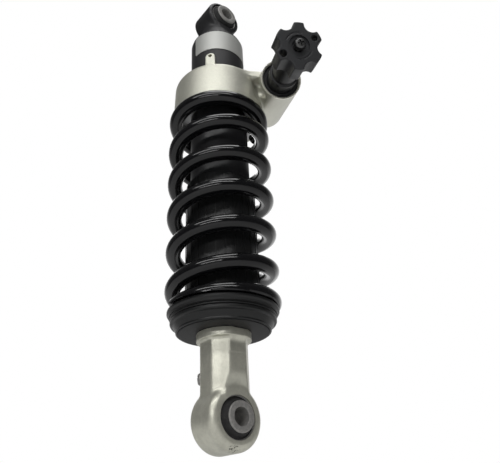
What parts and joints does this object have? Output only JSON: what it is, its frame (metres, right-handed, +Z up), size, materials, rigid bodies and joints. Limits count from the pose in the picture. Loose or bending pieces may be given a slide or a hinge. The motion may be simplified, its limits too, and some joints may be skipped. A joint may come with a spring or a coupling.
{
  "type": "rear shock absorber",
  "caption": "Long rear shock absorber with a sliding damper rod, coil spring, dust cover, eye at each end, and an angled hydraulic adjuster whose lobed wheel pushes the spring seat.",
  "frame": {"origin": "centre of the upper eye's bolt bore", "axes": "+Z up along the damper, Y along both eye bores, +X to the side that carries the angled adjuster"},
  "size_m": [0.1183, 0.1658, 0.4247],
  "materials": {
    "body_black": "satin black coating",
    "rubber_black": "moulded black rubber",
    "plate_silver": "thin bare silver plate",
    "cast_light": "fine cast surface with a satin silver coat",
    "fork_alloy": "cast and partly machined, satin",
    "turned_alloy": "turned",
    "plastic_black": "moulded, satin",
    "wheel_black": "moulded, satin",
    "spring_black": "gloss black coating",
    "steel": "bare steel",
    "steel_dark": "black coated steel",
    "zinc_steel": "zinc plated, dull",
    "screw_dark": "dark oxide",
    "rod_chrome": "hard chrome, polished"
  },
  "bodies": {
    "damper": {"top_cap": "body_black", "upper_rubber": "rubber_black", "body_tube": "body_black", "plain_plate": "plate_silver", "casting": "cast_light", "adjuster_nut": "plastic_black", "rod_guide": "turned_alloy", "rod_wiper": "rubber_black", "rod_seal": "rubber_black", "guide_ring": "rubber_black", "guide_clip": "steel", "coil_spring": "spring_black"},
    "upper_pivot": {"upper_sleeve": "zinc_steel"},
    "preload": {"preload_piston": "turned_alloy", "preload_outer_ring": "rubber_black", "preload_inner_ring": "rubber_black", "upper_seat": "steel"},
    "wheel": {"hand_wheel": "wheel_black", "wheel_screw": "screw_dark", "adjuster_spindle": "steel"},
    "pusher": {"adjuster_piston": "turned_alloy", "adjuster_ring": "rubber_black"},
    "separator": {"floating_piston": "turned_alloy", "floating_ring": "rubber_black", "floating_screw": "steel"},
    "rod_end": {"rod": "rod_chrome", "main_piston": "turned_alloy", "piston_band": "plastic_black", "rebound_shims": "steel", "compression_shims": "steel", "piston_nut": "steel", "topout_spacer": "plastic_black", "bump_stop": "rubber_black", "bump_washer": "steel", "dust_cover": "plastic_black", "spring_pad": "plastic_black", "lower_seat": "plastic_black", "seat_plate": "steel_dark", "fork": "fork_alloy", "lower_rubber": "rubber_black"},
    "lower_pivot": {"lower_sleeve": "zinc_steel"},
    "rebound": {"rebound_screw": "zinc_steel"},
    "needle": {"metering_needle": "steel"}
  },
  "joints": [
    {"name": "upper_pivot", "type": "hinge", "parent": "damper", "child": "upper_pivot", "pos_m": [0, 0, 0], "axis": [0, 1, 0], "range_deg": [-12, 12], "stiffness_Nm_per_rad": 30},
    {"name": "rod_slide", "type": "slide", "parent": "damper", "child": "rod_end", "axis": [0, 0, 1], "range_m": [0, 0.06], "stiffness_N_per_m": 60000, "deforming": ["coil_spring"]},
    {"name": "separator_slide", "type": "slide", "parent": "damper", "child": "separator", "axis": [0, 0, 1], "range_m": [0, 0.006]},
    {"name": "wheel_turn", "type": "hinge", "parent": "damper", "child": "wheel", "pos_m": [0.0229, -0.06167, -0.1103], "axis": [0.4594, 0.812, 0.36], "range_deg": [0, 4680]},
    {"name": "pusher_slide", "type": "slide", "parent": "damper", "child": "pusher", "axis": [0.4594, 0.812, 0.36], "range_m": [0, 0.026]},
    {"name": "preload_slide", "type": "slide", "parent": "damper", "child": "preload", "axis": [0, 0, -1], "range_m": [0, 0.0104], "deforming": ["coil_spring"]},
    {"name": "lower_pivot", "type": "hinge", "parent": "rod_end", "child": "lower_pivot", "pos_m": [0, 0, -0.3853], "axis": [0, 1, 0], "range_deg": [-12, 12], "stiffness_Nm_per_rad": 30},
    {"name": "rebound_turn", "type": "hinge", "parent": "rod_end", "child": "rebound", "pos_m": [0, 0, -0.3568], "axis": [0.7071, -0.7071, 0], "range_deg": [0, 1080]},
    {"name": "needle_slide", "type": "slide", "parent": "rod_end", "child": "needle", "axis": [0, 0, 1], "range_m": [0, 0.0015]}
  ],
  "couplings": [
    {"joint": "separator_slide", "follows": "rod_slide", "ratio": 0.09679},
    {"joint": "wheel_turn", "follows": "pusher_slide", "rad_per_m": 3141.6},
    {"joint": "preload_slide", "follows": "pusher_slide", "ratio": 0.3941},
    {"joint": "rebound_turn", "follows": "needle_slide", "rad_per_m": 12566}
  ]
}
